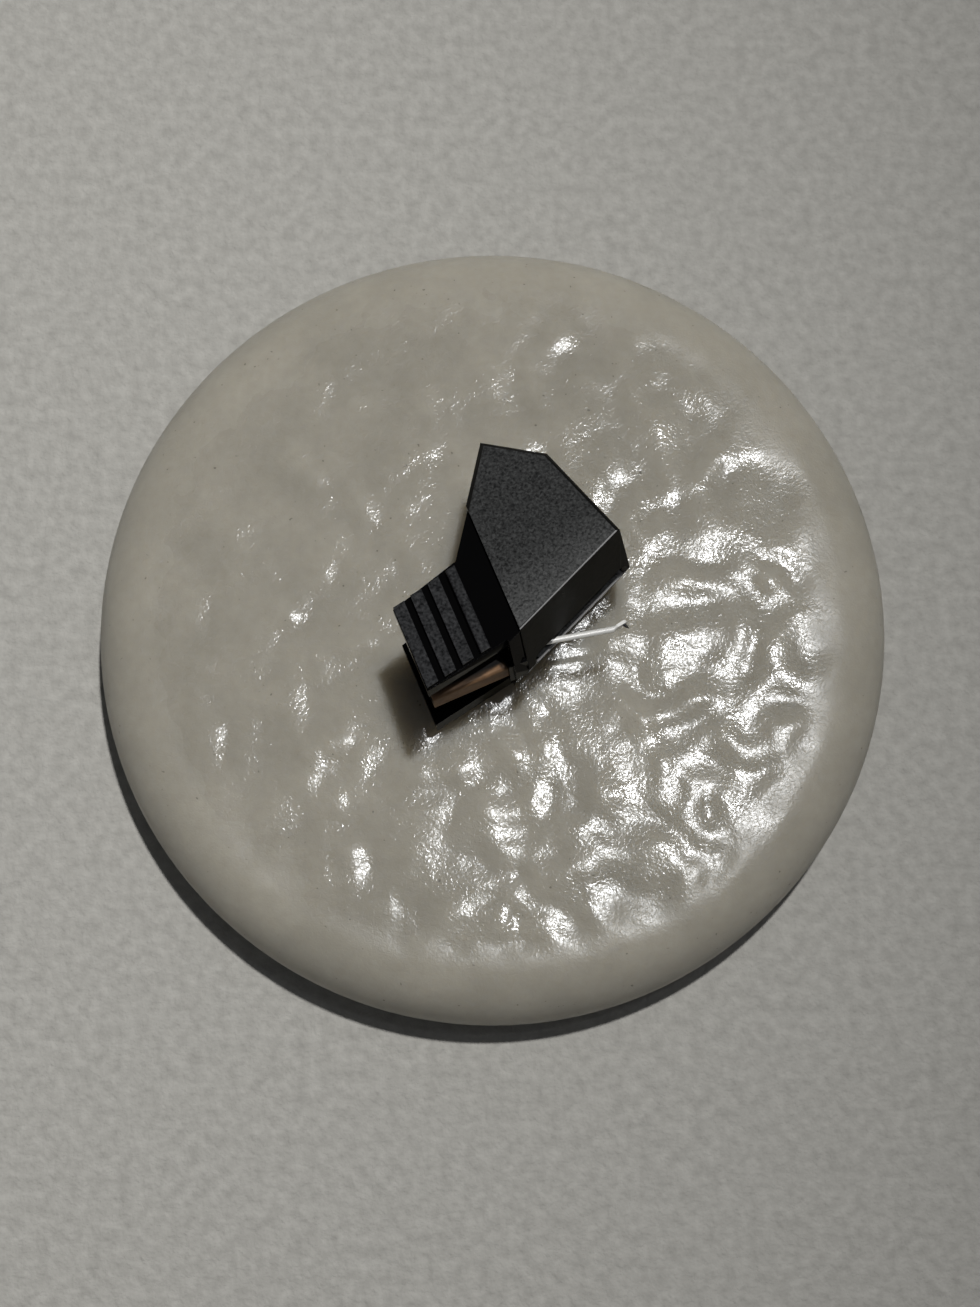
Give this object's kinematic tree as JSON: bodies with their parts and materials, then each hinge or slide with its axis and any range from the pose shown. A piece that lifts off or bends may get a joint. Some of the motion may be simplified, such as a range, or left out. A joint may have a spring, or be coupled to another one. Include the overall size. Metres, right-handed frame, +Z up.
{
  "type": "phono stylus on round cake",
  "caption": "Small black replacement stylus with ribbed grip arms, square shank and swinging cantilever, lying on its side on a pale round dimpled cake with a rounded rim.",
  "frame": {"origin": "centre of the cake's flat underside", "axes": "+Z up, away from what the cake stands on; the cake is round about +Z; the stylus lies on its left side and points towards +X and +Y"},
  "size_m": [0.066, 0.066, 0.0224],
  "materials": {
    "cake_body": "pale waxy body, glossy dimpled top, matte rim",
    "nose_black": "fine spark-textured sides, satin below",
    "grip_black": "smooth black moulding",
    "shank_brass": "thin drawn square tube, dull",
    "inner_brass": "turned, dull",
    "damper_rubber": "matte",
    "cantilever_aluminium": "bright drawn tube",
    "magnet_steel": "ground",
    "glue": "clear cured bead",
    "tip_metal": "dark pin",
    "diamond": "dark polished point"
  },
  "bodies": {
    "cake": {"cake": "cake_body"},
    "stylus": {"nose_cap": "nose_black", "grip_frame": "grip_black", "shank_tube": "shank_brass", "rear_stop": "inner_brass", "damper_seat": "inner_brass"},
    "damper": {"damper_ring": "damper_rubber"},
    "cantilever": {"cantilever_tube": "cantilever_aluminium", "magnet_carrier": "cantilever_aluminium", "magnet": "magnet_steel", "tip_adhesive": "glue", "tip_shank": "tip_metal", "diamond_tip": "diamond"}
  },
  "joints": [
    {"name": "lift_off", "type": "slide", "parent": "cake", "child": "stylus", "axis": [0, 0, 1], "range_m": [0, 0.025]},
    {"name": "lateral_swing", "type": "hinge", "parent": "stylus", "child": "damper", "pos_m": [0.00163, -0.00475, 0.01642], "axis": [-0.5493, 0.8267, -0.1219], "range_deg": [-3, 3], "stiffness_Nm_per_rad": 0.0045},
    {"name": "vertical_swing", "type": "hinge", "parent": "damper", "child": "cantilever", "pos_m": [0.00163, -0.00475, 0.01642], "axis": [-0.0456, 0.116, 0.9922], "range_deg": [-3, 5], "stiffness_Nm_per_rad": 0.0045}
  ]
}
